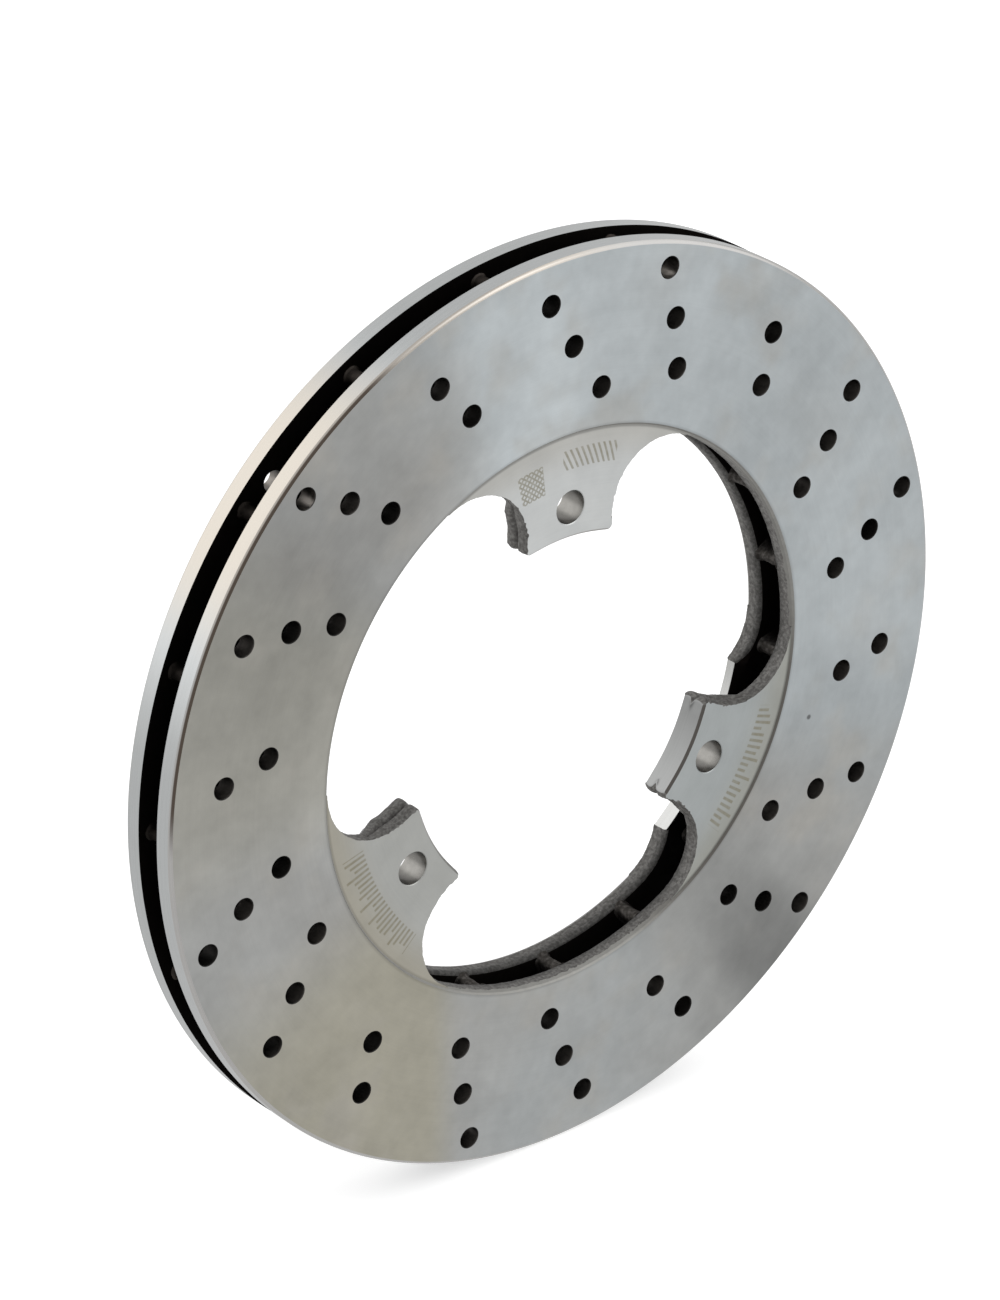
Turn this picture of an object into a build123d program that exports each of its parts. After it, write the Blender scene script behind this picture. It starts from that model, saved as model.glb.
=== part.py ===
from build123d import *
import os
from math import atan2, cos, degrees, radians, sin, sqrt

# Ventilated, cross-drilled brake disc for a motorcycle or scooter wheel: one grey-iron casting,
# kept here as its functional regions, which meet face to face.
# Each region is modelled lying flat, front face up (+Z), top of the disc at +Y, and is then
# stood upright, so the finished disc has its axle along Y, its front face towards -Y and
# lug 1 at the top. Lengths are in millimetres and angles in degrees, clockwise from the top
# as seen from the front.

# Friction ring
disc_diameter = 195.0
disc_thickness = 14.0
plate_thickness = 4.1
rim_bevel = 0.7
bore_diameter = 119.4            # as-cast bore between the lugs
track_inner_diameter = 120.9     # inner edge of the ground pad track
track_step = 0.35                # the track stands this far above the lug faces
ledge_diameter = 120.2           # foot of the step up to the track
ledge_width = 0.1
bore_break = 1.0                 # depth below the track where the bore edge is broken
slot_corner_radius = 0.8         # cast rounding where the bore turns into the air slot

# Cross-drilled cooling holes
hole_diameter = 4.45
hole_edge_break = 0.15
hole_rows = 18
hole_pitch = 10.0                # along a row
outer_hole_radius = 92.0
row_stagger = hole_pitch / 3     # each row type starts this much further in
first_row_angle = 14.87          # of the outermost hole in row 0
row_lean = 0.3236                # degrees per millimetre that a row leans as it runs inwards
lug_row_shift = (0.0, 0.56, 3.3) # extra turn of the three holes in the row above each lug

# Cooling vanes
vane_count = 18
vane_width = 3.0
vane_root_flare = 0.6
vane_inner_radius, vane_inner_angle = 61.8, 16.9
vane_outer_radius, vane_outer_angle = 93.9, 10.2

# Mounting lugs
lug_count = 3
lug_inner_radius = 38.0
lug_half_width = 10.5
lug_root_radius = 13.2           # concave blend from the lug's side into the bore
lug_corner_radius = 1.2
lug_thickness = 6.5
lug_edge_break = 0.5
lug_boss_radius = 11.3           # of the round boss about the bolt hole that carries the hub seat
bolt_circle_diameter = 89.0
bolt_hole_diameter = 7.0
bolt_countersink = 0.15

# Rear pilot ears
pilot_diameter = 111.0
pilot_edge_break = 0.3

# Derived heights and radii
disc_radius = disc_diameter / 2
bore_radius = bore_diameter / 2
ledge_outer_radius = ledge_diameter / 2
ledge_inner_radius = ledge_outer_radius - ledge_width
track_inner_radius = track_inner_diameter / 2
face_height = disc_thickness / 2
slot_height = face_height - plate_thickness
lug_face_height = face_height - track_step
lug_seat_height = lug_face_height - lug_thickness
blank_overlap = 1.0              # lug and ear blanks reach this far into the ring before trimming


def polar(radius, angle):
    """A point at an angle clockwise from the top."""
    return (radius * sin(radians(angle)), radius * cos(radians(angle)))


def revolved(points, arc_middles=None):
    """A ring from (radius, height) points. A side whose start is in arc_middles is an arc
    through the point given there."""
    arcs = arc_middles or {}
    sides = []
    for start, end in zip(points, points[1:] + points[:1]):
        if start in arcs:
            sides.append(ThreePointArc(start, arcs[start], end))
        else:
            sides.append(Line(start, end))
    return revolve(Plane.XZ * make_face(sides), Axis.Z)


def hole_cutter(diameter, edge_break, low, high):
    """A drilled hole between two heights, with both mouths broken."""
    radius = diameter / 2
    past = 1.0
    outline = [
        (0, low - past),
        (radius + edge_break + past, low - past),
        (radius, low + edge_break),
        (radius, high - edge_break),
        (radius + edge_break + past, high + past),
        (0, high + past),
    ]
    return revolved(outline)


def cooling_hole_places():
    """The centre of every cross-drilled hole."""
    places = []
    rows_per_lug = hole_rows // lug_count
    for row in range(hole_rows):
        kind = row % 3
        start = outer_hole_radius - (0, 2, 1)[kind] * row_stagger
        count = (3, 2, 3)[kind]
        above_lug = row % rows_per_lug == rows_per_lug - 1
        for place in range(count):
            radius = start - place * hole_pitch
            angle = first_row_angle + row * 360 / hole_rows
            angle += row_lean * (outer_hole_radius - radius)
            if above_lug:
                angle += lug_row_shift[place]
            places.append(polar(radius, angle))
    return places


def ring_blank():
    """The front plate before drilling: ground track, turned rim, as-cast bore."""
    arc_lift = slot_corner_radius * (1 - sqrt(0.5))
    arc_start = (bore_radius, slot_height + slot_corner_radius)
    arc_middle = (bore_radius + arc_lift, slot_height + arc_lift)
    outline = [
        (disc_radius, slot_height),
        (disc_radius, face_height - rim_bevel),
        (disc_radius - rim_bevel, face_height),
        (track_inner_radius, face_height),
        (ledge_outer_radius, lug_face_height),
        (ledge_inner_radius, lug_face_height),
        (bore_radius, face_height - bore_break),
        arc_start,
        (bore_radius + slot_corner_radius, slot_height),
    ]
    return revolved(outline, {arc_start: arc_middle})


def friction_ring(blank):
    """The front plate with its cooling holes drilled."""
    cutter = hole_cutter(hole_diameter, hole_edge_break, slot_height, face_height)
    return blank - [Pos(x, y) * cutter for x, y in cooling_hole_places()]


def left(point):
    return (-point[0], point[1])


def ear_outline():
    """The flared outline that a lug and a rear ear share, at the top of the disc."""
    blend_x = lug_half_width + lug_root_radius
    blend_y = sqrt((bore_radius - lug_root_radius) ** 2 - blend_x ** 2)
    tangent_angle = degrees(atan2(blend_x, blend_y))
    middle_turn = radians((180 + 90 - tangent_angle) / 2)
    side_start = (lug_half_width, sqrt(lug_inner_radius ** 2 - lug_half_width ** 2))
    side_end = (lug_half_width, blend_y)
    blend_middle = (
        blend_x + lug_root_radius * cos(middle_turn),
        blend_y + lug_root_radius * sin(middle_turn),
    )
    blend_end = polar(bore_radius, tangent_angle)
    outer_corner = polar(bore_radius + blank_overlap, tangent_angle)
    outer_middle = (0, bore_radius + blank_overlap)
    sides = [
        ThreePointArc(left(side_start), (0, lug_inner_radius), side_start),
        Line(side_start, side_end),
        ThreePointArc(side_end, blend_middle, blend_end),
        Line(blend_end, outer_corner),
        ThreePointArc(outer_corner, outer_middle, left(outer_corner)),
        Line(left(outer_corner), left(blend_end)),
        ThreePointArc(left(blend_end), left(blend_middle), left(side_end)),
        Line(left(side_end), left(side_start)),
    ]
    face = make_face(sides)
    inner_corners = [v for v in face.vertices() if v.Y < lug_inner_radius]
    return fillet(inner_corners, lug_corner_radius)


def boss_relief():
    """What is left out of a lug's rear side beyond its boss, whose flank slopes at 45 degrees
    from the hub seat up to the air slot."""
    past = 1.0
    flank_end = lug_boss_radius + slot_height - lug_seat_height
    boss = revolved([
        (0, lug_seat_height - past),
        (lug_boss_radius - past, lug_seat_height - past),
        (flank_end, slot_height),
        (0, slot_height),
    ])
    block = Pos(0, 0, slot_height) * Box(
        2 * bore_radius,
        bore_radius,
        slot_height - lug_seat_height + past,
        align=(Align.CENTER, Align.MIN, Align.MAX),
    )
    return block - boss


def mounting_lug(blank):
    """A drilled lug behind the front plate's face, with the hub seat on its rear side."""
    reach = bore_radius + blank_overlap
    outline = [
        (lug_inner_radius, lug_seat_height + lug_edge_break),
        (lug_inner_radius + lug_edge_break, lug_seat_height),
        (reach, lug_seat_height),
        (reach, lug_face_height),
        (lug_inner_radius + lug_edge_break, lug_face_height),
        (lug_inner_radius, lug_face_height - lug_edge_break),
    ]
    column = extrude(Pos(0, 0, lug_seat_height) * ear_outline(), lug_thickness)
    bolt_hole = hole_cutter(
        bolt_hole_diameter, bolt_countersink, lug_seat_height, lug_face_height
    )
    bolt_place = Pos(*polar(bolt_circle_diameter / 2, 0))
    slab = (column & revolved(outline)) - blank
    return slab - bolt_place * bolt_hole - bolt_place * boss_relief()


def rear_pilot_ear(blank):
    """A flared ear of the rear plate, turned back to the diameter that centres the hub."""
    reach = bore_radius + blank_overlap
    pilot_radius = pilot_diameter / 2
    outline = [
        (pilot_radius, slot_height),
        (reach, slot_height),
        (reach, lug_face_height),
        (pilot_radius + pilot_edge_break, lug_face_height),
        (pilot_radius, lug_face_height - pilot_edge_break),
    ]
    column = extrude(Pos(0, 0, slot_height) * ear_outline(), lug_face_height - slot_height)
    return mirror((column & revolved(outline)) - blank, Plane.XY)


def cooling_vane():
    """A straight, round-ended vane that leans back as it runs inwards, with flared roots."""
    inner = Vector(*polar(vane_inner_radius, vane_inner_angle))
    outer = Vector(*polar(vane_outer_radius, vane_outer_angle))
    span = outer - inner
    middle = Pos(*(inner + outer) * 0.5)
    turn = degrees(atan2(span.Y, span.X))
    waist = middle * SlotCenterToCenter(span.length, vane_width, turn)
    root_width = vane_width + 2 * vane_root_flare
    root = middle * SlotCenterToCenter(span.length, root_width, turn)
    web = extrude(waist, slot_height, both=True)
    lower_root = extrude(Pos(0, 0, -slot_height) * root, vane_root_flare, taper=45)
    return web + lower_root + mirror(lower_root, Plane.XY)


def turned(solid, angle):
    """Turned clockwise about the axle, as seen from the front."""
    return Rot(Z=-angle) * solid


def save(node, solid):
    """Stand the region upright and write it as one solid."""
    export_step((Rot(X=90) * solid).solid(), f"parts/{node}.step")


os.makedirs("parts", exist_ok=True)

plate_blank = ring_blank()
front_ring = friction_ring(plate_blank)
rear_ring = mirror(front_ring, Plane.XY)
save("front_friction_ring", front_ring)
save("rear_friction_ring", rear_ring)

lug = mounting_lug(plate_blank)
ear = rear_pilot_ear(plate_blank)
for number in range(lug_count):
    angle = number * 360 / lug_count
    save(f"mounting_lug_{number + 1}", turned(lug, angle))
    save(f"rear_pilot_ear_{number + 1}", turned(ear, angle))

vane = cooling_vane()
for number in range(vane_count):
    save(f"cooling_vane_{number + 1:02d}", turned(vane, number * 360 / vane_count))
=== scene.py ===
import math
import bmesh
import bpy
from mathutils import Matrix, Vector, noise
from mathutils.geometry import delaunay_2d_cdt

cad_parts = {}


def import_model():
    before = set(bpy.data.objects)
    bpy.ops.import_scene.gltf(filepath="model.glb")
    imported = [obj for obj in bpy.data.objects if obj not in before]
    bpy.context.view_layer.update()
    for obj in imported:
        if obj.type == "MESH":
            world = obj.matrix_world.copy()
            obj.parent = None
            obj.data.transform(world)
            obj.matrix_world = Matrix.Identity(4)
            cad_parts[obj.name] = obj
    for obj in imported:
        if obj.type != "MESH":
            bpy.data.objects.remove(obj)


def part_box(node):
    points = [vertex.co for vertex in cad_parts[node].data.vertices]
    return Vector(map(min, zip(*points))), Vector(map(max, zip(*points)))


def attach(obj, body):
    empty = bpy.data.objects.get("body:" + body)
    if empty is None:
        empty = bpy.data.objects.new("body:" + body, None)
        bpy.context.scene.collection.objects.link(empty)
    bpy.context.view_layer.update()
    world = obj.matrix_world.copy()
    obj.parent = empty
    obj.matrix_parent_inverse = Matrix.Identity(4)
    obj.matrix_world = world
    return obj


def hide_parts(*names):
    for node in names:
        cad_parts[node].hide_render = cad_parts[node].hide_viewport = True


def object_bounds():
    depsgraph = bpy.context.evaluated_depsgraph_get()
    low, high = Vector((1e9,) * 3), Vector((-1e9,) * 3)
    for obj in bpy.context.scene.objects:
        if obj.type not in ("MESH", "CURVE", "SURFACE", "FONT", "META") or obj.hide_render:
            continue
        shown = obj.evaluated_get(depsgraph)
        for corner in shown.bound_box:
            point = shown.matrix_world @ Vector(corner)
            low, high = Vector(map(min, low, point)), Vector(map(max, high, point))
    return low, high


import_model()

# A ventilated, cross-drilled brake disc of grey cast iron. The looks are built around the CAD:
# every region gets a fine mesh with real sand-cast roughness where it is left as cast, and
# ground, turned and drilled finishes where it is machined.
# Meshes are made lying flat in millimetres, front face up (+z), top of the disc at +y, angles
# clockwise from the top. world() stands them up in the frame, where the axle is Y.

CAD_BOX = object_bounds()
MM = 0.001

# Read from the frame
ring_low, ring_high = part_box("front_friction_ring")
lug_low, lug_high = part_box("mounting_lug_1")
FACE_HEIGHT = -ring_low.y / MM
SLOT_HEIGHT = -ring_high.y / MM
DISC_RADIUS = ring_high.x / MM
LUG_FACE_HEIGHT = -lug_low.y / MM
LUG_SEAT_HEIGHT = -lug_high.y / MM

# Friction ring, as in the CAD
RIM_BEVEL = 0.7
BORE_RADIUS = 59.7
TRACK_INNER_RADIUS = 60.45
LEDGE_OUTER_RADIUS, LEDGE_INNER_RADIUS = 60.1, 60.0
BORE_BREAK = 1.0
SLOT_CORNER_RADIUS = 0.8
HOLE_RADIUS = 2.225
HOLE_EDGE_BREAK = 0.15
HOLE_ROWS = 18
HOLE_PITCH = 10.0
OUTER_HOLE_RADIUS = 92.0
FIRST_ROW_ANGLE = 14.87
ROW_LEAN = 0.3236
LUG_ROW_SHIFT = (0.0, 0.56, 3.3)
# Holes whose walls get the painted highlight in full.
LIT_HOLES = (0, 40)

# Lugs, ears and vanes, as in the CAD
LUG_COUNT = 3
LUG_INNER_RADIUS = 38.0
LUG_HALF_WIDTH = 10.5
LUG_ROOT_RADIUS = 13.2
LUG_CORNER_RADIUS = 1.2
LUG_EDGE_BREAK = 0.5
LUG_BOSS_RADIUS = 11.3
BOLT_CIRCLE_RADIUS = 44.5
BOLT_HOLE_RADIUS = 3.5
BOLT_COUNTERSINK = 0.15
PILOT_RADIUS = 55.5
PILOT_EDGE_BREAK = 0.3
VANE_COUNT = 18
VANE_WIDTH = 3.0
VANE_ROOT_FLARE = 0.6
VANE_INNER = (61.8, 16.9)
VANE_OUTER = (93.9, 10.2)

# As-cast surfaces, and the marks on the lugs
GRAIN_DEPTH = 0.13
GRAIN_SIZE = 0.75
SIDE_SWELL = 0.3
RIDGE_HEIGHT = 0.3
GROOVE_PLACE = 0.57
GROOVE_DEPTH = 0.95
GROOVE_WIDTH = 0.075
NICK_DEPTH = 0.36
EAR_THINNING = 1.3
PORE = (65.5, -21.5)
# Black painted into the air slot and onto what faces it, for the shade there.
SLOT_SHADE_BLACK = (0.010, 0.008, 0.007)
MARKS_RADIUS = 56.0


def polar(radius, angle, height=0.0):
    turn = math.radians(angle)
    return Vector((radius * math.sin(turn), radius * math.cos(turn), height))


def world(point):
    """A flat, front-up point in millimetres as a standing point in metres."""
    return (point[0] * MM, -point[2] * MM, point[1] * MM)


def smooth_step(low, high, value):
    share = min(1.0, max(0.0, (value - low) / (high - low)))
    return share * share * (3 - 2 * share)


def grain(point):
    """Height of the sand-cast surface at a point, in millimetres."""
    place = Vector(point) / GRAIN_SIZE
    lumps = noise.fractal(place * 0.45, 1.0, 2.0, 2)
    sand = noise.fractal(place * 1.5, 0.8, 2.1, 2)
    return GRAIN_DEPTH * (0.8 * lumps + 0.55 * sand)


def add_object(name, data):
    made = bpy.data.objects.new(name, data)
    bpy.context.scene.collection.objects.link(made)
    return made


class Shell:
    """A mesh in the making: shared points, and faces with a finish each."""

    def __init__(self, finishes):
        self.finishes = finishes
        self.points = []
        self.faces = []
        self.face_finish = []

    def loop(self, points):
        start = len(self.points)
        self.points.extend(Vector(p) for p in points)
        return list(range(start, len(self.points)))

    def add(self, face, finish):
        self.faces.append(face)
        self.face_finish.append(self.finishes.index(finish))

    def band(self, first, second, finish):
        """Quads between two closed loops of as many points."""
        count = len(first)
        for i in range(count):
            j = (i + 1) % count
            name = finish(i) if callable(finish) else finish
            self.add((first[i], first[j], second[j], second[i]), name)

    def patch(self, rims, inner, finish):
        """Triangles inside the first closed loop and outside the others, through some inner
        points. The finish may depend on a triangle's first point."""
        ids = [i for rim in rims for i in rim] + self.loop(inner)
        flat = [self.points[i].xy for i in ids]
        outlines = []
        start = 0
        for rim in rims:
            outline = list(range(start, start + len(rim)))
            start += len(rim)
            ends = zip(outline, outline[1:] + outline[:1])
            area = sum(flat[i].cross(flat[j]) for i, j in ends)
            outlines.append(outline if area > 0 else outline[::-1])
        made = delaunay_2d_cdt(flat, [], outlines, 0, 1e-7)
        triangles, sources, owners = made[2], made[3], made[5]
        for triangle, owner in zip(triangles, owners):
            if 0 in owner and len(owner) == 1:
                face = [ids[sources[i][0]] for i in triangle]
                self.add(face, finish(self.points[face[0]]) if callable(finish) else finish)

    def piece(self, name, node, turn=0.0, mirrored=False):
        """The finished object, turned clockwise about the axle, in place of a CAD node."""
        side = -1 if mirrored else 1
        rotation = Matrix.Rotation(math.radians(-turn), 3, "Z")
        placed = [rotation @ p for p in self.points]
        mesh = bpy.data.meshes.new(name)
        mesh.from_pydata([world((p.x, p.y, side * p.z)) for p in placed], [], self.faces)
        mesh.polygons.foreach_set("material_index", self.face_finish)
        for finish in self.finishes:
            mesh.materials.append(FINISHES[finish])
        tidy = bmesh.new()
        tidy.from_mesh(mesh)
        loose = [v for v in tidy.verts if not v.link_faces]
        bmesh.ops.delete(tidy, geom=loose, context="VERTS")
        bmesh.ops.recalc_face_normals(tidy, faces=tidy.faces)
        sharpen(tidy)
        tidy.to_mesh(mesh)
        tidy.free()
        made = add_object(name, mesh)
        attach(made, "root")
        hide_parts(node)


def sharpen(tidy):
    """Smooth shading, except over sharp edges and where one finish meets another."""
    sharpest = math.radians(28)
    for face in tidy.faces:
        face.smooth = True
    for edge in tidy.edges:
        first, second = edge.link_faces
        same_finish = first.material_index == second.material_index
        edge.smooth = same_finish and edge.calc_face_angle() < sharpest


def circle(radius, height, count):
    return [polar(radius, 360 * i / count, height) for i in range(count)]


def circle_about(centre, radius, height, count):
    return [
        Vector((centre.x + radius * math.sin(a), centre.y + radius * math.cos(a), height))
        for a in (math.tau * i / count for i in range(count))
    ]


# Friction rings


def cooling_hole_places():
    """Centres of the drilled holes: slanted rows of 3, 2 and 3, whose first holes are on
    circles a third of the pitch apart. Every sixth row, above a lug, is bent."""
    places = []
    for row in range(HOLE_ROWS):
        kind = row % 3
        start = OUTER_HOLE_RADIUS - (0, 2, 1)[kind] * HOLE_PITCH / 3
        above_lug = row % (HOLE_ROWS // LUG_COUNT) == HOLE_ROWS // LUG_COUNT - 1
        for place in range((3, 2, 3)[kind]):
            radius = start - place * HOLE_PITCH
            angle = FIRST_ROW_ANGLE + row * 360 / HOLE_ROWS
            angle += ROW_LEAN * (OUTER_HOLE_RADIUS - radius)
            if above_lug:
                angle += LUG_ROW_SHIFT[place]
            places.append(polar(radius, angle))
    return places


def ring_grid(low, high, pitch, height, holes, clear):
    """Points spread over a ring, clear of its holes."""
    points = []
    rows = int((high - low) / pitch)
    for row in range(1, rows):
        radius = low + (high - low) * row / rows
        count = int(math.tau * radius / pitch)
        for i in range(count):
            spot = polar(radius, 360 * (i + 0.5 * (row % 2)) / count, height)
            if all((spot.xy - hole.xy).length > clear for hole in holes):
                points.append(spot)
    return points


def bore_loops(count, seed):
    """Loops down the bore from its turned edge to the air slot: the wall as cast, then its
    cast corner. The first loop moves along the slope of the turned edge, which stays clean."""
    edge_drop = BORE_BREAK - (FACE_HEIGHT - LUG_FACE_HEIGHT)
    edge_slope = edge_drop / (LEDGE_INNER_RADIUS - BORE_RADIUS)
    wall_top = FACE_HEIGHT - BORE_BREAK
    wall_foot = SLOT_HEIGHT + SLOT_CORNER_RADIUS
    wall_rows, corner_rows = 10, 4
    stations = []
    for row in range(wall_rows + 1):
        height = wall_top + (wall_foot - wall_top) * row / wall_rows
        stations.append((BORE_RADIUS, height, 1.0))
    for row in range(1, corner_rows + 1):
        turn = math.pi / 2 * row / corner_rows
        radius = BORE_RADIUS + SLOT_CORNER_RADIUS * (1 - math.cos(turn))
        height = wall_foot - SLOT_CORNER_RADIUS * math.sin(turn)
        stations.append((radius, height, 1.0 - row / corner_rows))
    loops = []
    for row, (radius, height, rough) in enumerate(stations):
        points = []
        for i in range(count):
            angle = 360 * i / count
            lift = rough * grain(polar(radius, angle, height + seed))
            drop = lift * edge_slope if row == 0 else 0.0
            points.append(polar(radius - lift, angle, height - drop))
        loops.append(points)
    return loops


def rim_profile():
    """(radius, height) down the rim, a bevel that is a little round and then the rim itself,
    and the number of rows in the bevel."""
    bevel_rows, rim_rows = 4, 4
    first, last = math.radians(25), math.radians(65)
    bend = RIM_BEVEL / (math.sin(last) - math.sin(first))
    profile = []
    for row in range(bevel_rows + 1):
        slant = first + (last - first) * row / bevel_rows
        radius = DISC_RADIUS - RIM_BEVEL + bend * (math.sin(slant) - math.sin(first))
        profile.append((radius, FACE_HEIGHT - bend * (math.cos(first) - math.cos(slant))))
    top = profile[-1][1]
    for row in range(1, rim_rows + 1):
        profile.append((DISC_RADIUS, top + (SLOT_HEIGHT - top) * row / rim_rows))
    return profile, bevel_rows


def drilled_hole(shell, centre, wall):
    """One cooling hole from the face to the air slot. Returns its loops at both ends."""
    mouth = HOLE_RADIUS + HOLE_EDGE_BREAK
    rows = [(mouth, FACE_HEIGHT), (HOLE_RADIUS, FACE_HEIGHT - HOLE_EDGE_BREAK)]
    rows += [(HOLE_RADIUS, (FACE_HEIGHT + SLOT_HEIGHT) / 2), (HOLE_RADIUS, SLOT_HEIGHT)]
    around = 40
    loops = [shell.loop(circle_about(centre, r, h, around)) for r, h in rows]
    shell.band(loops[0], loops[1], "drilled")
    for upper, lower in zip(loops[1:], loops[2:]):
        shell.band(upper, lower, wall)
    return loops[0], loops[-1]


def slot_surface(holes, seed):
    """Points over the ring's side towards the air slot, rough as cast except at its edges."""
    inner = BORE_RADIUS + SLOT_CORNER_RADIUS
    points = ring_grid(inner, DISC_RADIUS, pitch=1.6, height=SLOT_HEIGHT, holes=holes, clear=3.0)
    coarseness, fade = 1.5, 3.0
    for spot in points:
        edge = min(spot.xy.length - inner, DISC_RADIUS - spot.xy.length)
        spot.z -= smooth_step(0.0, fade, edge) * coarseness * grain(spot + Vector((0, 0, seed)))
    return points


def friction_ring(name, seed, mirrored=False):
    finishes = ["ground", "rim", "rim_edge", "step", "cast", "slot_cast", "drilled", "drilled_lit"]
    shell = Shell(finishes)
    holes = cooling_hole_places()
    bore_count, rim_count = 1320, 720
    track_in = shell.loop(circle(TRACK_INNER_RADIUS, FACE_HEIGHT, bore_count))
    profile, bevel_rows = rim_profile()
    rims = [shell.loop(circle(radius, height, rim_count)) for radius, height in profile]
    for row, (upper, lower) in enumerate(zip(rims, rims[1:])):
        shell.band(upper, lower, "rim_edge" if row < bevel_rows else "rim")
    track_out, slot_out = rims[0], rims[-1]

    previous = track_in
    for radius in (LEDGE_OUTER_RADIUS, LEDGE_INNER_RADIUS):
        following = shell.loop(circle(radius, LUG_FACE_HEIGHT, bore_count))
        shell.band(previous, following, "step")
        previous = following
    for row, points in enumerate(bore_loops(bore_count, seed)):
        following = shell.loop(points)
        shell.band(previous, following, "step" if row == 0 else "cast")
        previous = following
    slot_in = previous

    mouths, feet = [], []
    for number, hole in enumerate(holes):
        mouth, foot = drilled_hole(
            shell, hole, wall="drilled_lit" if number in LIT_HOLES else "drilled"
        )
        mouths.append(mouth)
        feet.append(foot)

    track_outer = DISC_RADIUS - RIM_BEVEL
    track_grid = ring_grid(
        TRACK_INNER_RADIUS, track_outer, pitch=3.2, height=FACE_HEIGHT, holes=holes, clear=3.2
    )
    shell.patch([track_out, track_in] + mouths, track_grid, "ground")
    shell.patch([slot_out, slot_in] + feet, slot_surface(holes, seed), "slot_cast")
    shell.piece(name + "_casting", name, mirrored=mirrored)


# Lugs and rear ears


class Station:
    """A point on a flat outline: its outward normal, how rough its wall is, how much of the
    mould's parting shape it shows, how wide its edges are broken and whether it lies inside
    the ring. The parting shape pushes it along its own direction, by default the normal."""

    def __init__(self, point, normal, rough=0.0, parting=0.0, edge=0.0, hidden=False, push=None):
        self.point = Vector(point[:2])
        self.normal = Vector(normal[:2]).normalized()
        self.rough = rough
        self.parting = parting
        self.edge = edge
        self.hidden = hidden
        self.push = Vector(push) if push else self.normal

    def mirrored(self):
        def flip(v):
            return (-v.x, v.y)

        return Station(
            flip(self.point), flip(self.normal), self.rough, self.parting, self.edge,
            self.hidden, flip(self.push),
        )


def arc_spots(centre, radius, start, end, step):
    """Points along an arc between two compass angles in degrees, with their directions from
    the centre."""
    count = max(2, round(abs(math.radians(end - start)) * radius / step))
    spots = []
    for i in range(count + 1):
        out = polar(1.0, start + (end - start) * i / count).xy
        spots.append((Vector(centre[:2]) + out * radius, out))
    return spots


def root_blend():
    """Centre of the concave blend at a lug's root, and the compass angle where it meets the
    bore."""
    x = LUG_HALF_WIDTH + LUG_ROOT_RADIUS
    y = math.sqrt((BORE_RADIUS - LUG_ROOT_RADIUS) ** 2 - x * x)
    return Vector((x, y)), math.degrees(math.atan2(x, y))


def cast_side(beyond=0.0):
    """Stations along the as-cast blend, from the lug's side out to the bore, that lie beyond
    a radius."""
    centre, meets = root_blend()
    stations = []
    for point, out in arc_spots(centre, LUG_ROOT_RADIUS, -90, meets, 0.28):
        if point.length > beyond:
            parting = 1 - smooth_step(45, 54, point.length)
            stations.append(Station(point, -out, rough=1.0, parting=parting))
    return stations


def ring_side(radius):
    """Stations hidden inside the ring, back to the middle of the outline."""
    _, meets = root_blend()
    return [
        Station(point, out, hidden=True) for point, out in arc_spots((0, 0), radius, meets, 0, 1.0)
    ]


def whole_outline(half):
    """A closed outline from its clockwise half, which starts and ends on the middle line."""
    return half + [station.mirrored() for station in reversed(half[1:-1])]


def lug_outline():
    """From the middle of the turned inner arc, round the corner, up the cast side and its
    blend, and back inside the ring."""
    corner_x = LUG_HALF_WIDTH - LUG_CORNER_RADIUS
    reach = LUG_INNER_RADIUS + LUG_CORNER_RADIUS
    corner = Vector((corner_x, math.sqrt(reach**2 - corner_x**2)))
    corner_angle = math.degrees(math.atan2(corner.x, corner.y))
    side = (1, 0)
    half = []
    for point, out in arc_spots((0, 0), LUG_INNER_RADIUS, 0, corner_angle, 0.3)[:-1]:
        parting = smooth_step(corner_x - 2.5, corner_x, point.x)
        half.append(Station(point, -out, parting=parting, edge=1.0, push=side))
    bend = arc_spots(corner, LUG_CORNER_RADIUS, corner_angle + 180, 90, 0.2)
    for i, (point, out) in enumerate(bend):
        rough = smooth_step(0.1, 0.6, i / (len(bend) - 1))
        half.append(Station(point, out, rough, parting=1.0, edge=1 - rough, push=side))
    blend_start = root_blend()[0].y
    steps = 7
    for i in range(1, steps):
        y = corner.y + (blend_start - corner.y) * i / steps
        half.append(Station((LUG_HALF_WIDTH, y), side, rough=1.0, parting=1.0))
    half += cast_side()
    half += ring_side(LEDGE_INNER_RADIUS)
    return whole_outline(half)


def ear_outline():
    """From the middle of the turned pilot arc, up the cast blend and back inside the ring."""
    side = cast_side(beyond=PILOT_RADIUS)
    first = side[0].point
    corner_angle = math.degrees(math.atan2(first.x, first.y))
    half = []
    for point, out in arc_spots((0, 0), PILOT_RADIUS, 0, corner_angle, 0.3)[:-1]:
        half.append(Station(point, -out, edge=1.0))
    for station in side:
        station.parting = 0.0
    half += side
    half += ring_side(LEDGE_INNER_RADIUS)
    return whole_outline(half)


def parting_shape(share):
    """How far a cast side stands out, from its top edge (0) to its bottom edge (1): a rounded
    ridge in each half of the mould, with the parting groove between them."""
    half = share / GROOVE_PLACE if share < GROOVE_PLACE else (1 - share) / (1 - GROOVE_PLACE)
    hump = 1 - (2 * half - 1) ** 2
    groove = math.exp(-(((share - GROOVE_PLACE) / GROOVE_WIDTH) ** 2))
    return SIDE_SWELL + RIDGE_HEIGHT * hump - GROOVE_DEPTH * groove


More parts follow.
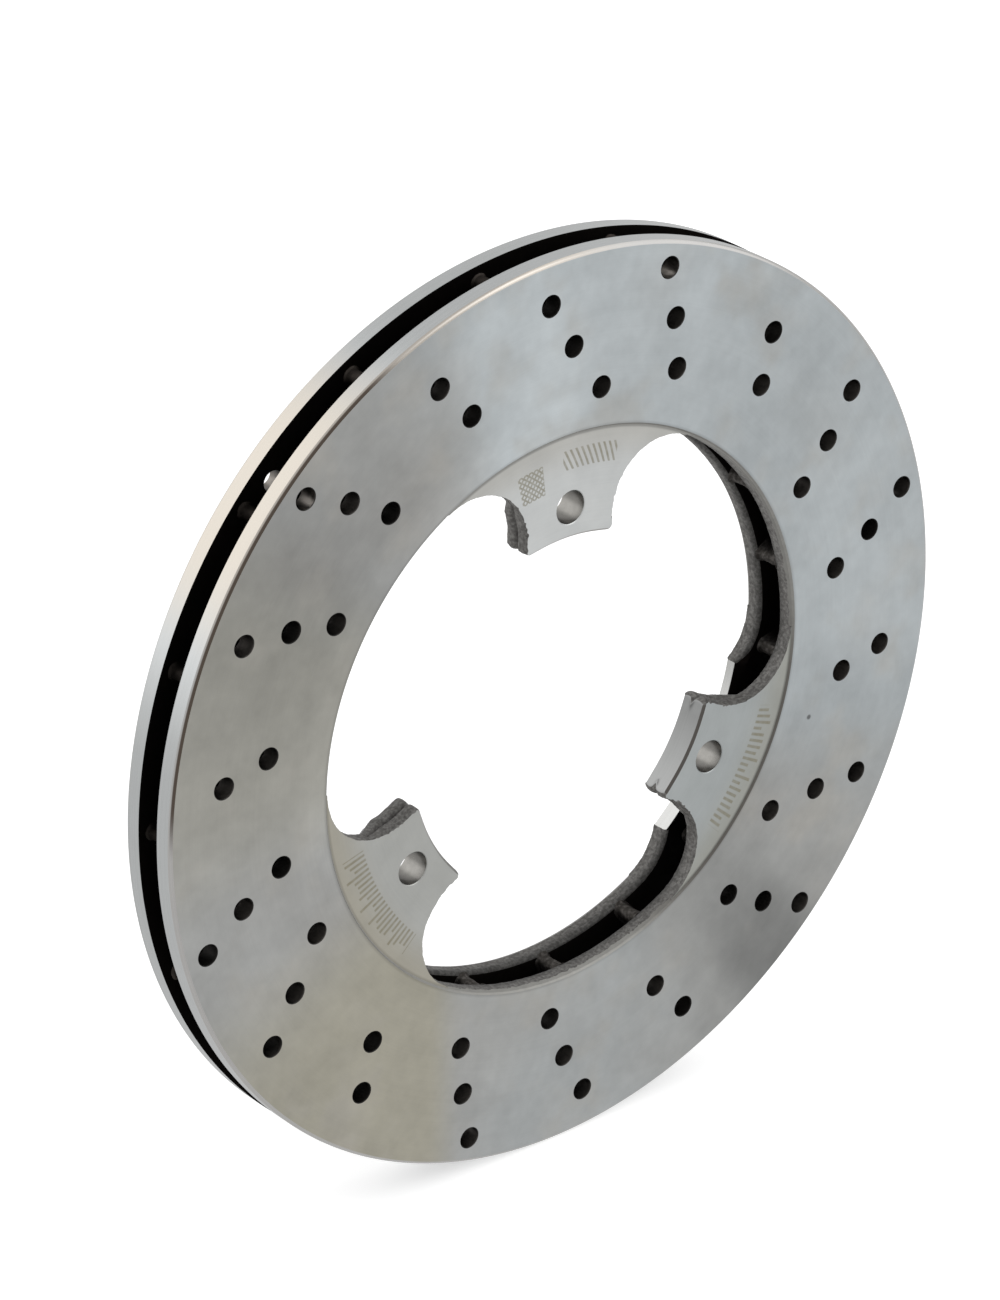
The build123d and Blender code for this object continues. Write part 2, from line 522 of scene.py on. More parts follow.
def wall_profile(station, top, bottom, edge_size, rows):
    """(height, inset, share of the way down) for each row of a station's wall. Machined edges
    are chamfered, except at the air slot. Cast ones are rounded where they turn into the slot,
    and a little less so at the hub seat."""
    least_edge = 0.05
    chamfer = max(least_edge, edge_size * station.edge)
    rounding = SLOT_CORNER_RADIUS * station.rough * (0.6 + 0.4 * smooth_step(0.3, 1.8, bottom))
    foot = max(chamfer if bottom < SLOT_HEIGHT else least_edge, rounding)
    corner_rows = 4
    wall_rows = rows - corner_rows - 1
    profile = [(top, chamfer, 0.0)]
    for row in range(wall_rows + 1):
        share = row / wall_rows
        profile.append((top - chamfer - (top - chamfer - bottom - foot) * share, 0.0, share))
    for row in range(1, corner_rows + 1):
        share = row / corner_rows
        if foot == rounding:
            turn = math.pi / 2 * share
            above, inset = foot * (1 - math.sin(turn)), foot * (1 - math.cos(turn))
        else:
            above, inset = foot * (1 - share), foot * share
        profile.append((bottom + above, inset, 1.0))
    return profile


def wall_finish(station, row, machined):
    if station.hidden:
        return "slot_cast"
    if station.rough > 0.15:
        return "cast"
    return "lug_edge" if row == 0 else machined


def slab_walls(shell, outline, top, bottom_at, edge_size, rows, turn, seed, machined="turned"):
    """Walls round an outline, from a flat top to a bottom whose height depends on the place.
    Hidden walls lean outward into the ring, and end just below the flat of the air slot.
    Returns the top and bottom loops."""
    spin = Matrix.Rotation(math.radians(-turn), 3, "Z")
    hidden_foot = BORE_RADIUS + SLOT_CORNER_RADIUS + 0.6
    hidden_drop = 0.01
    nicked_rows = 2
    columns = []
    for station in outline:
        bottom = bottom_at(station.point)
        column = []
        for row, (height, inset, share) in enumerate(
            wall_profile(station, top, bottom, edge_size, rows)
        ):
            if station.hidden:
                share = row / rows
                radius = station.point.length * (1 - share) + hidden_foot * share
                spot = station.point.normalized() * radius
                height = top + (bottom - hidden_drop - top) * share
                column.append(Vector((spot.x, spot.y, height)))
                continue
            place = spin @ Vector((station.point.x, station.point.y, height))
            out = station.rough * grain(place + Vector((0, 0, seed))) - inset
            if row < nicked_rows:
                nick = smooth_step(0.0, 0.45, noise.noise(place * 1.25))
                out -= station.rough * station.parting * NICK_DEPTH * nick
            spot = station.point + station.normal * out
            spot += station.push * station.parting * parting_shape(share)
            column.append(Vector((spot.x, spot.y, height)))
        columns.append(column)
    loops = [shell.loop(points) for points in zip(*columns)]
    for row, (upper, lower) in enumerate(zip(loops, loops[1:])):
        finishes = [wall_finish(station, row, machined) for station in outline]
        shell.band(upper, lower, lambda i: finishes[i])
    return loops[0], loops[-1]


def slab_grid(outline, pitch, height_at, hole=None, clear=0.0):
    """Points spread inside an outline, clear of its edge and of a hole, if there is one."""
    edge = [station.point for station in outline]
    edge_gap = max(1.2, pitch * 0.7)
    low_x, high_x = min(p.x for p in edge), max(p.x for p in edge)
    low_y, high_y = min(p.y for p in edge), max(p.y for p in edge)
    points = []
    for row in range(int((high_y - low_y) / pitch)):
        for column in range(int((high_x - low_x) / pitch)):
            x = low_x + (column + 0.5 * (row % 2)) * pitch
            spot = Vector((x, low_y + row * pitch))
            inside = min((spot - p).length for p in edge) > edge_gap
            if inside and (hole is None or (spot - hole).length > clear):
                points.append(Vector((spot.x, spot.y, height_at(spot))))
    return points


def lug_bottom(place):
    """Height of a lug's rear side: the hub seat on its boss, whose flank slopes at 45 degrees
    up to the air slot."""
    beyond = Vector((place.x, place.y - BOLT_CIRCLE_RADIUS))
    if beyond.y <= 0:
        return LUG_SEAT_HEIGHT
    return min(SLOT_HEIGHT, LUG_SEAT_HEIGHT + max(0.0, beyond.length - LUG_BOSS_RADIUS))


def boss_edges():
    """Points along the foot and the top of a boss's flank, out to the sides of the lug."""
    flank_end = LUG_BOSS_RADIUS + SLOT_HEIGHT - LUG_SEAT_HEIGHT
    foot_reach, top_reach = 78, 66
    points = []
    for radius, reach in ((LUG_BOSS_RADIUS, foot_reach), (flank_end, top_reach)):
        for spot, _ in arc_spots((0, BOLT_CIRCLE_RADIUS), radius, -reach, reach, 0.5):
            points.append(Vector((spot.x, spot.y, lug_bottom(spot))))
    return points


def lug_rear_finish(place):
    """The hub seat is turned, and the boss's flank and the slot beyond it are as cast."""
    flank_from = 1.0
    return "turned" if place.z < flank_from else "cast"


def mounting_lug(number):
    turn = 360 * (number - 1) / LUG_COUNT
    face = f"lug_face_{number}"
    shell = Shell([face, "turned", "lug_edge", "cast", "slot_cast", "bolt_wall"])
    outline = lug_outline()
    top, bottom = slab_walls(
        shell, outline, LUG_FACE_HEIGHT, lug_bottom, LUG_EDGE_BREAK, rows=26, turn=turn, seed=0.0
    )
    centre = Vector((0, BOLT_CIRCLE_RADIUS))
    mouth = BOLT_HOLE_RADIUS + BOLT_COUNTERSINK
    wall = [
        (mouth, LUG_FACE_HEIGHT),
        (BOLT_HOLE_RADIUS, LUG_FACE_HEIGHT - BOLT_COUNTERSINK),
        (BOLT_HOLE_RADIUS, (LUG_FACE_HEIGHT + LUG_SEAT_HEIGHT) / 2),
        (BOLT_HOLE_RADIUS, LUG_SEAT_HEIGHT),
    ]
    around, gap = 96, 0.8
    rims = [shell.loop(circle_about(centre, r, h, around)) for r, h in wall]
    for upper, lower, finish in zip(rims, rims[1:], (face, "bolt_wall", "bolt_wall")):
        shell.band(upper, lower, finish)
    flat = slab_grid(outline, 1.6, lambda spot: LUG_FACE_HEIGHT, centre, mouth + gap)
    shell.patch([top, rims[0]], flat, face)
    edges = boss_edges()
    rear = slab_grid(outline, 1.2, lug_bottom, centre, mouth + gap)
    rear = [p for p in rear if min((p.xy - e.xy).length for e in edges) > 0.5]
    shell.patch([bottom, rims[-1]], rear + edges, lug_rear_finish)
    name = f"mounting_lug_{number}"
    shell.piece(name + "_casting", name, turn=turn)


def ear_slot_side(place):
    """Height of a rear ear's side towards the air slot. The sand core left the ear thinner at
    one end of its arc."""
    taper = 2.5
    near_arc = 1 - smooth_step(PILOT_RADIUS, PILOT_RADIUS + taper, place.length)
    return SLOT_HEIGHT + EAR_THINNING * near_arc * smooth_step(-1.0, -11.0, place.x)


def rear_pilot_ear(number):
    turn = 360 * (number - 1) / LUG_COUNT
    shell = Shell(["ear_arc", "turned", "lug_edge", "cast", "slot_cast"])
    outline = ear_outline()
    top, bottom = slab_walls(
        shell, outline, LUG_FACE_HEIGHT, ear_slot_side, PILOT_EDGE_BREAK, rows=14, turn=turn,
        seed=40.0, machined="ear_arc",
    )
    rear = slab_grid(outline, 1.5, lambda spot: LUG_FACE_HEIGHT)
    shell.patch([top], rear, "turned")
    shell.patch([bottom], slab_grid(outline, 1.5, ear_slot_side), "slot_cast")
    name = f"rear_pilot_ear_{number}"
    shell.piece(name + "_casting", name, turn=turn, mirrored=True)


# Cooling vanes


def vane_outline():
    """(point, outward normal) round a vane, which has straight sides and round ends."""
    inner, outer = polar(*VANE_INNER).xy, polar(*VANE_OUTER).xy
    span = outer - inner
    heading = math.degrees(math.atan2(span.x, span.y))
    half_width = VANE_WIDTH / 2
    nose = arc_spots(outer, half_width, heading - 90, heading + 90, 0.3)
    tail = arc_spots(inner, half_width, heading + 90, heading + 270, 0.3)
    sides = int(span.length / 0.5)
    right = nose[-1][1]
    outline = list(nose)
    outline += [(outer - span * i / sides + right * half_width, right) for i in range(1, sides)]
    outline += tail
    outline += [(inner + span * i / sides - right * half_width, -right) for i in range(1, sides)]
    return outline


def cooling_vane(number):
    """A web across the air slot that flares at both roots, with its feet inside the rings."""
    turn = 360 * (number - 1) / VANE_COUNT
    spin = Matrix.Rotation(math.radians(-turn), 3, "Z")
    outline = vane_outline()
    shell = Shell(["vane"])
    rows = 16
    root_depth = 0.2
    seed, coarseness = 80.0, 1.3
    loops = []
    for row in range(rows + 1):
        turn_share = math.pi * row / rows
        height = -math.cos(turn_share) * (SLOT_HEIGHT + root_depth)
        rise = max(0.0, SLOT_HEIGHT - abs(height))
        lack = max(0.0, 1 - rise / VANE_ROOT_FLARE)
        flare = VANE_ROOT_FLARE * (1 - math.sqrt(1 - lack**2))
        points = []
        for point, out in outline:
            place = spin @ Vector((point.x, point.y, height + seed))
            spot = point + out * (flare + coarseness * grain(place))
            points.append(Vector((spot.x, spot.y, height)))
        loops.append(shell.loop(points))
    for lower, upper in zip(loops, loops[1:]):
        shell.band(lower, upper, "vane")
    for loop in (loops[0], loops[-1]):
        shell.patch([loop], [], "vane")
    name = f"cooling_vane_{number:02d}"
    shell.piece(name + "_casting", name, turn=turn)


# Finishes


class Field:
    """A number that varies over a surface: a node output that can be reckoned with."""

    def __init__(self, tree, socket):
        self.tree = tree
        self.socket = socket

    def math(self, operation, *others, clamp=False):
        node = self.tree.nodes.new("ShaderNodeMath")
        node.operation = operation
        node.use_clamp = clamp
        for entry, value in zip(node.inputs, (self, *others)):
            if isinstance(value, Field):
                self.tree.links.new(value.socket, entry)
            else:
                entry.default_value = value
        return Field(self.tree, node.outputs[0])

    def __add__(self, other):
        return self.math("ADD", other)

    def __sub__(self, other):
        return self.math("SUBTRACT", other)

    def __mul__(self, other):
        return self.math("MULTIPLY", other)

    def __truediv__(self, other):
        return self.math("DIVIDE", other)

    def __abs__(self):
        return self.math("ABSOLUTE")

    def __rsub__(self, other):
        return self * -1.0 + other

    def length(self, other):
        return (self * self + other * other).math("SQRT")

    def step(self, low, high):
        """0 below low, 1 above high and smooth between; low may be the greater."""
        node = self.tree.nodes.new("ShaderNodeMapRange")
        node.interpolation_type = "SMOOTHSTEP"
        self.tree.links.new(self.socket, node.inputs["Value"])
        node.inputs["From Min"].default_value = low
        node.inputs["From Max"].default_value = high
        return Field(self.tree, node.outputs[0])


class Finish:
    """A procedural material in the making, in the disc's flat coordinates in millimetres."""

    def __init__(self, name, colour, roughness, metallic=1.0):
        self.material = bpy.data.materials.new(name)
        self.material.use_nodes = True
        self.tree = self.material.node_tree
        self.shader = self.tree.nodes["Principled BSDF"]
        self.shader.inputs["Metallic"].default_value = metallic
        place = self.tree.nodes.new("ShaderNodeTexCoord").outputs["Object"]
        parts = self.tree.nodes.new("ShaderNodeSeparateXYZ")
        self.tree.links.new(place, parts.inputs[0])
        across, back, up = (Field(self.tree, socket) for socket in parts.outputs)
        self.x = across * (1 / MM)
        self.y = up * (1 / MM)
        self.z = back * (-1 / MM)
        self.radius = self.x.length(self.y)
        self.angle = self.x.math("ARCTAN2", self.y)
        self.colour = self.rgb(colour)
        self.rough = roughness
        self.relief = None

    def rgb(self, colour):
        node = self.tree.nodes.new("ShaderNodeRGB")
        node.outputs[0].default_value = (*colour, 1.0)
        return node.outputs[0]

    def noise(self, size, detail=2.0, at=None, seed=0.0):
        """Noise from 0 to 1, with lumps of a size in millimetres at some coordinates."""
        where = self.tree.nodes.new("ShaderNodeCombineXYZ")
        for field, entry in zip(at or (self.x, self.y, self.z), where.inputs):
            self.tree.links.new(field.socket, entry)
        node = self.tree.nodes.new("ShaderNodeTexNoise")
        node.noise_dimensions = "4D"
        self.tree.links.new(where.outputs[0], node.inputs["Vector"])
        node.inputs["W"].default_value = seed
        node.inputs["Scale"].default_value = 1 / size
        node.inputs["Detail"].default_value = detail
        return Field(self.tree, node.outputs[0])

    def toward(self, compass, fold=1):
        """From 1 on the side at a compass angle round the disc to -1 opposite, or that often
        more round the disc."""
        apart = self.angle * fold - math.radians(compass) * fold
        return apart.math("COSINE")

    def sector(self, compass, full_to, reach):
        """1 within some degrees of a compass angle round the disc, fading to 0 at its reach."""
        edge, full = math.cos(math.radians(reach)), math.cos(math.radians(full_to))
        return self.toward(compass).step(edge, full)

    def facing(self, x, y, z):
        """How squarely the surface faces a direction of the frame, 1 when it looks along it."""
        node = self.tree.nodes.new("ShaderNodeVectorMath")
        node.operation = "DOT_PRODUCT"
        normal = self.tree.nodes.new("ShaderNodeNewGeometry").outputs["Normal"]
        self.tree.links.new(normal, node.inputs[0])
        node.inputs[1].default_value = (x, y, z)
        return Field(self.tree, node.outputs["Value"])

    def lathe_lines(self, pitch, across=None):
        """Fine lines that run round the axle, and waver a little along their length."""
        across = across or self.radius
        return self.noise(1.0, 1.0, at=(across * (1 / pitch), self.angle * 1.5, self.z * 0.2))

    def tint(self, colour, amount):
        """Goes over to another colour by an amount from 0 to 1."""
        node = self.tree.nodes.new("ShaderNodeMix")
        node.data_type = "RGBA"
        self.tree.links.new(amount.math("ADD", 0.0, clamp=True).socket, node.inputs[0])
        self.tree.links.new(self.colour, node.inputs[6])
        node.inputs[7].default_value = (*colour, 1.0)
        self.colour = node.outputs[2]

    def shade(self, factor):
        """Makes the colour lighter or darker by a factor."""
        node = self.tree.nodes.new("ShaderNodeVectorMath")
        node.operation = "SCALE"
        self.tree.links.new(self.colour, node.inputs[0])
        self.tree.links.new(factor.socket, node.inputs["Scale"])
        self.colour = node.outputs[0]

    def bump(self, height, depth):
        """Relief too fine for the mesh, with its depth in millimetres."""
        self.relief = height * depth

    def done(self):
        self.tree.links.new(self.colour, self.shader.inputs["Base Color"])
        if isinstance(self.rough, Field):
            self.tree.links.new(self.rough.socket, self.shader.inputs["Roughness"])
        else:
            self.shader.inputs["Roughness"].default_value = self.rough
        if self.relief:
            node = self.tree.nodes.new("ShaderNodeBump")
            node.inputs["Distance"].default_value = MM
            self.tree.links.new(self.relief.socket, node.inputs["Height"])
            self.tree.links.new(node.outputs[0], self.shader.inputs["Normal"])
        return self.material


def ground_finish():
    """The pad tracks: ground flat, with a faint mottle and fine lines round the axle. A painted
    sheen varies round the disc, with a painted cool tint where it is brightest, a painted dark
    reflection streak at the lower right, a painted warm reflection at the lower left, a painted
    highlight near the inner edge at the upper left and painted shade along the inner edge of the
    track. The front has one casting pore."""
    steel = Finish("ground_track", (0.438, 0.442, 0.432), 0.35)
    # Painted cool reflection: a bluish tint where the painted sheen is brightest.
    painted_cool_reflection = steel.toward(45).step(0.17, 0.53) + steel.sector(176, 8, 24) * 0.5
    steel.tint((0.422, 0.452, 0.464), painted_cool_reflection)
    # Painted warm reflection at the lower left of the track.
    painted_warm_reflection = steel.toward(215).step(0.82, 0.99) * steel.x.step(-25.0, -35.0)
    steel.tint((0.455, 0.432, 0.352), painted_warm_reflection * 0.9 + steel.sector(285, 5, 28) * 0.45)
    steel.tint((0.42, 0.40, 0.37), steel.noise(38.0, 1.0, seed=3.0).step(0.5, 0.8) * 0.4)
    # Painted sheen: the track lighter and darker round the disc where it would reflect the studio,
    # with painted streaks.
    painted_sheen = steel.toward(52) * 0.15 + steel.toward(37, 2) * 0.116 + 1.02
    painted_sheen = painted_sheen + steel.toward(-8, 3) * 0.044 + steel.toward(-2, 4) * 0.09
    for compass, reach, strength in ((143, 8, -0.03), (350, 14, 0.20), (166, 12, 0.05)):
        painted_sheen = painted_sheen + steel.sector(compass, 0, reach) * strength
    steel.shade(painted_sheen)
    # Painted dark reflection streak at the lower right, and a painted highlight near the inner
    # edge at the upper left.
    painted_dark_streak = steel.sector(142, 0, 10) * steel.radius.step(62.0, 90.0)
    inner_gleam = steel.toward(310).step(0.5, 0.75) * steel.radius.step(70.0, 63.0)
    steel.shade(inner_gleam * 0.13 - painted_dark_streak * 0.3 + 1.0)
    fine, blotches = steel.noise(2.6, 3.0, seed=1.0), steel.noise(9.0, 2.0, seed=2.0)
    patches = steel.noise(24.0, 2.0, seed=8.0)
    steel.tint((0.46, 0.44, 0.40), steel.noise(13.0, 2.0, seed=9.0).step(0.5, 0.75) * 0.45)
    lines = steel.lathe_lines(0.35)
    steel.shade(fine * 0.2 + blotches * 0.28 + patches * 0.24 + lines * 0.06 + 0.61)
    pore = (steel.x - PORE[0]).length(steel.y - PORE[1]).step(0.75, 0.3)
    in_front = steel.z.step(0.0, 1.0)
    steel.tint((0.10, 0.10, 0.10), pore * in_front * 0.8)
    # Painted shade along the inner edge of the track, beside the step.
    steel.shade(steel.radius.step(TRACK_INNER_RADIUS, TRACK_INNER_RADIUS + 0.7) * 0.2 + 0.8)
    steel.rough = steel.noise(7.0, 2.0, seed=5.0) * 0.08 + steel.rough
    steel.bump(lines, 0.004)
    return steel.done()


def turned(name, colour, roughness, across_z=False):
    """Turned iron in the making, with its lines round the axle."""
    steel = Finish(name, colour, roughness)
    lines = steel.lathe_lines(0.18, steel.z if across_z else None)
    steel.shade(lines * 0.16 + steel.noise(5.0, 2.0) * 0.08 + 0.88)
    steel.bump(lines, 0.006)
    return steel


def cast_finish(name, light, dark):
    """Sand-cast skin: dark and granular, with lighter grains and a few painted glints. The bore
    darkens towards the air slot, and what faces straight back in the slot is painted black for the
    shade there."""
    iron = Finish(name, dark, 0.6, metallic=0.45)
    iron.tint(light, iron.noise(0.6, 3.0, seed=4.0).step(0.35, 0.7))
    iron.shade(iron.noise(3.0, 2.0, seed=6.0) * 0.7 + 0.65)
    # Painted glints: a few bright grains.
    iron.tint((0.32, 0.31, 0.295), iron.noise(0.35, 1.0, seed=9.0).step(0.68, 0.78) * 0.6)
    near_slot = abs(iron.z).step(SLOT_HEIGHT + 2.2, SLOT_HEIGHT + 0.2)
    iron.shade(1.18 - near_slot * iron.radius.step(54.0, 58.0) * 0.6)
    # Painted shade: what faces straight back into the air slot is black.
    slot_side = iron.facing(0.0, 1.0, 0.0).step(0.76, 0.96)
    iron.tint(SLOT_SHADE_BLACK, slot_side)
    iron.bump(iron.noise(0.4, 2.0, seed=7.0), 0.05)
    return iron.done()


def slot_finish():
    """The sand-cast air slot, painted black for the shade inside it."""
    # Painted shade: the slot's colour is near black.
    iron = Finish("slot_painted_shade", SLOT_SHADE_BLACK, 0.7)
    iron.shade(iron.noise(1.5, 2.0, seed=6.0) + 0.5)
    return iron.done()


def vane_finish():
    """Sand-cast vanes: their inner ends keep the cast skin, and further out, in the air slot, they
    are painted black for shade, a little lighter at their outer ends and darker at the left.
    """
    iron = Finish("vane_skin", (0.06, 0.055, 0.05), 0.65)
    iron.tint((0.14, 0.13, 0.122), iron.noise(0.8, 3.0, seed=4.0).step(0.4, 0.7))
    # Painted shade: black further out in the air slot.
    iron.tint(SLOT_SHADE_BLACK, iron.radius.step(60.8, 64.0))
    # Painted shade, lighter at the outer ends, by the rim.
    iron.tint((0.07, 0.06, 0.053), iron.radius.step(93.4, 95.5))
    iron.shade(iron.noise(1.2, 3.0, seed=5.0) * 1.2 + 0.4)
    # Painted shade at the left of the disc.
    iron.shade(1.0 - iron.sector(290, 12, 36) * 0.65)
    return iron.done()


def drilled_finish(name, lit_colour, metallic, roughness, share):
    """Walls of the cooling holes, painted near black for the shade inside them. The side that the
    light reaches gets a painted highlight, in some holes fully and in the others by a share of it."""
    # A near-black base colour: painted shade inside the holes.
    iron = Finish(name, (0.012, 0.011, 0.010), roughness, metallic)
    speckle = iron.noise(1.3, 2.0).step(0.2, 0.6) * 0.45 + 0.55
    # Painted highlight on the side facing up and to the left.
    lit = iron.facing(-0.75, 0.0, 0.66).step(0.3, 1.0) * speckle
    varied = iron.noise(22.0, 1.0, seed=3.0).step(0.42, 0.6)
    iron.tint(lit_colour, lit * (varied * (1 - share) + share))
    return iron.done()


def rim_finish(name, colour, warm):
    """The turned rim, with a painted warm reflection of the room at its upper left."""
    steel = turned(name, colour, 0.26, across_z=True)
    # Painted warm reflection at the upper left of the rim.
    steel.tint(warm, steel.sector(313, 6, 21))
    return steel.done()


def rim_edge_finish():
    """The rim's bevel: a painted dark brown reflection at the upper left, with a painted warm
    highlight above that.
    """
    steel = turned("rim_bevel", (0.57, 0.56, 0.545), 0.24)
    # Painted warm highlight at the top left of the bevel.
    steel.tint((0.60, 0.555, 0.50), steel.sector(330, 24, 40))
    # Painted dark brown reflection on the inner part of the bevel at the upper left.
    inner = steel.radius.step(DISC_RADIUS - 0.10, DISC_RADIUS - 0.28)
    steel.tint((0.12, 0.096, 0.078), steel.sector(302, 26, 33) * inner)
    return steel.done()


def lug_edge_finish():
    """The chamfers of the lugs and ears, with painted shade on the lug at the right."""
    steel = turned("lug_chamfer", (0.42, 0.41, 0.39), 0.3)
    # Painted shade on the chamfers of the lug at the right.
    steel.tint((0.13, 0.12, 0.11), steel.sector(120, 20, 30))
    return steel.done()


def turned_iron_finish():
    """The turned arcs and seats of the lugs, and the ears' rear faces, in the shade at the
    upper end of lug 2."""
    steel = turned("turned_iron", (0.36, 0.364, 0.36), 0.30, across_z=True)
    steel.shade(1.0 - steel.sector(100, 6, 34) * 0.22)
    return steel.done()


def bolt_wall_finish():
    """Reamed bolt holes: painted light on the side that faces up and to the left, and painted
    shade beside it.
    """
    steel = Finish("bolt_hole_wall", (0.33, 0.32, 0.30), 0.27)
    # Painted light on the side facing up and to the left, painted shade on the rest.
    lit = steel.facing(-0.79, 0.0, 0.61).step(0.35, 0.95)
    steel.shade(lit * 0.78 + 0.22)
    steel.shade(steel.noise(1.4, 2.0) * 0.4 + 0.8)
    return steel.done()


def step_finish():
    """The worn step down from the track and the turned edge of the bore, with painted shade at the
    right."""
    steel = Finish("track_step", (0.36, 0.355, 0.335), 0.5)
    # Painted shade at the right of the disc.
    steel.tint((0.17, 0.16, 0.145), steel.sector(122, 12, 42))
    steel.shade(steel.noise(1.5, 2.0) * 0.3 + 0.85)
    return steel.done()


def scale_marks(along, radius, low, high, reach, pitch):
    """Etched ticks of mixed length, like a plain scale, in a band along a lug's outer edge.
    Each tick's length comes from a hash of its number, so it is the same in every run."""
    cell = (along / pitch).math("FLOOR")
    across = (along / pitch).math("FRACT")
    hashed = ((cell * 12.9898).math("SINE") * 43758.5453).math("FRACT")
    top = (hashed * 0.5 + 0.5) * (high - low) + low
    soft = 0.2
    tick = abs(across - 0.5).step(0.29, 0.18)
    within = radius.step(low, low + soft) * (top - radius).step(0.0, soft)
    return tick * within * abs(along).step(reach + soft, reach)


def hatched_patch(along, radius, place, half_size, pitch, lean):
    """Leaning etched lines that fill a plain rectangle."""
    soft = 0.1
    over_x = abs(along - place[0]).step(half_size[0] + soft, half_size[0] - soft)
    over_y = abs(radius - place[1]).step(half_size[1] + soft, half_size[1] - soft)
    phase = ((along + (radius - place[1]) * lean) / pitch).math("FRACT")
    return abs(phase - 0.5).step(0.26, 0.14) * over_x * over_y


def batch_marks(along, radius):
    """A small square of crossed lines beside a bar of leaning lines."""
    square = [
        hatched_patch(along, radius, (-10.6, 52.6), (3.2, 3.2), 1.3, lean) for lean in (1.0, -1.0)
    ]
    bar = hatched_patch(along, radius, (4.8, 54.8), (7.0, 2.1), 1.4, 0.5)
    return square[0].math("MAXIMUM", square[1]).math("MAXIMUM", bar)


def etched_marks(number, along, radius):
    """The marks on a lug: how far a place is etched, from 0 to 1."""
    if number == 1:
        return batch_marks(along, radius)
    if number == 2:
        return scale_marks(along, radius, low=54.0, high=59.0, reach=13.8, pitch=1.35)
    return scale_marks(along, radius, low=52.8, high=58.8, reach=14.2, pitch=1.25)


def lug_face_finish(number, colour, warm, foot):
    """A ground lug face with its etched marks, and painted shade by a share at the foot of the
    step. Along is measured round the disc from the middle of the lug."""
    steel = Finish(f"lug_face_{number}", colour, 0.40)
    steel.tint(warm, steel.radius.step(50.0, 60.0) * 0.8)
    mottle = steel.noise(3.2, 3.0, seed=11.0) * 0.14 + steel.noise(9.0, 1.0, seed=12.0) * 0.16
    lines = steel.lathe_lines(0.35)
    steel.shade(mottle + lines * 0.06 + 0.82)
    steel.bump(lines, 0.003)
    turn = math.radians(360 * (number - 1) / LUG_COUNT)
    across = steel.x * math.cos(turn) - steel.y * math.sin(turn)
    out = steel.x * math.sin(turn) + steel.y * math.cos(turn)
    along = across.math("ARCTAN2", out) * MARKS_RADIUS
    marks = etched_marks(number, along, steel.radius)
    worn = steel.noise(1.1, 2.0, seed=21.0) * 0.8 + 0.35
    steel.tint((0.25, 0.225, 0.15), marks * worn * 0.8)
    # Painted shade at the foot of the step.
    steel.shade(1.0 - steel.radius.step(59.3, 59.9) * foot)
    return steel.done()


FINISHES = {
    "ground": ground_finish(),
    "rim": rim_finish("turned_rim", (0.60, 0.615, 0.615), (0.66, 0.61, 0.54)),
    "ear_arc": turned("turned_ear_arc", (0.62, 0.62, 0.605), 0.26, across_z=True).done(),
    "rim_edge": rim_edge_finish(),
    "lug_edge": lug_edge_finish(),
    "step": step_finish(),
    "turned": turned_iron_finish(),
    "bolt_wall": bolt_wall_finish(),
    "cast": cast_finish("cast_skin", (0.185, 0.18, 0.171), (0.088, 0.084, 0.079)),
    "slot_cast": slot_finish(),
    "vane": vane_finish(),
    "drilled": drilled_finish("drilled_wall", (0.11, 0.10, 0.09), 0.6, 0.45, share=0.1),
    "drilled_lit": drilled_finish("drilled_wall_lit", (0.30, 0.275, 0.25), 0.9, 0.3, share=1.0),
    "lug_face_1": lug_face_finish(1, (0.66, 0.675, 0.67), (0.54, 0.53, 0.495), foot=0.42),
    "lug_face_2": lug_face_finish(2, (0.44, 0.465, 0.465), (0.40, 0.40, 0.36), foot=0.40),
    "lug_face_3": lug_face_finish(3, (0.475, 0.48, 0.46), (0.44, 0.412, 0.338), foot=0.25),
}


# The pieces

friction_ring("front_friction_ring", seed=0.0)
friction_ring("rear_friction_ring", seed=40.0, mirrored=True)
for lug in range(1, LUG_COUNT + 1):
    mounting_lug(lug)
    rear_pilot_ear(lug)
for vane in range(1, VANE_COUNT + 1):
    cooling_vane(vane)


# Floor, light and camera


def make_floor():
    """A plain pale floor that the disc stands on."""
    reach = 4.0
    mesh = bpy.data.meshes.new("floor")
    base = CAD_BOX[0].z
    corners = [(-reach, -reach), (reach, -reach), (reach, reach), (-reach, reach)]
    mesh.from_pydata([(x, y, base) for x, y in corners], [], [(0, 1, 2, 3)])
    floor = add_object("floor", mesh)
    paint = bpy.data.materials.new("pale_floor")
    paint.use_nodes = True
    shader = paint.node_tree.nodes["Principled BSDF"]
    shader.inputs["Base Color"].default_value = (0.86, 0.86, 0.86, 1.0)
    shader.inputs["Roughness"].default_value = 0.9
    shader.inputs["Emission Color"].default_value = (1.0, 1.0, 1.0, 1.0)
    shader.inputs["Emission Strength"].default_value = 0.5
    mesh.materials.append(paint)
    floor.visible_glossy = False


